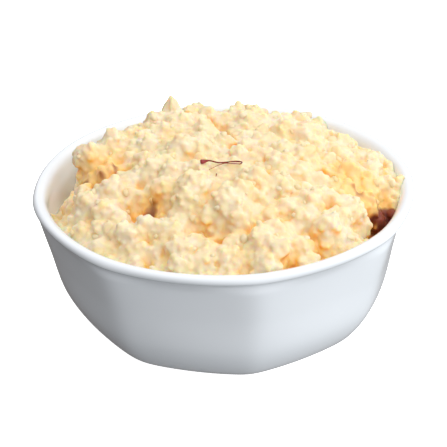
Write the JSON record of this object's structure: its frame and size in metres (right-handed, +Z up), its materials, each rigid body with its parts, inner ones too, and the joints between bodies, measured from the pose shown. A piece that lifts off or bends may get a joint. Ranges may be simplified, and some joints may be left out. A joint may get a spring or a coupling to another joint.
{
  "type": "bowl of milk halwa",
  "caption": "White bowl with soft facets and a round lip, heaped with a crumbly pale milk sweet, with a bent saffron thread on top.",
  "frame": {"origin": "on the table under the middle of the bowl's foot", "axes": "+Z up; two of the bowl's eight facets face +X and -X, and two face +Y and -Y; the serving side shown is 13.5 degrees round from -Y towards +X"},
  "size_m": [0.1396, 0.1396, 0.0734],
  "materials": {
    "white_glaze": "smooth glossy white",
    "milk_curd": null,
    "saffron": null
  },
  "bodies": {
    "root": {"bowl": "white_glaze", "halwa": "milk_curd", "saffron_thread": "saffron"}
  },
  "joints": []
}
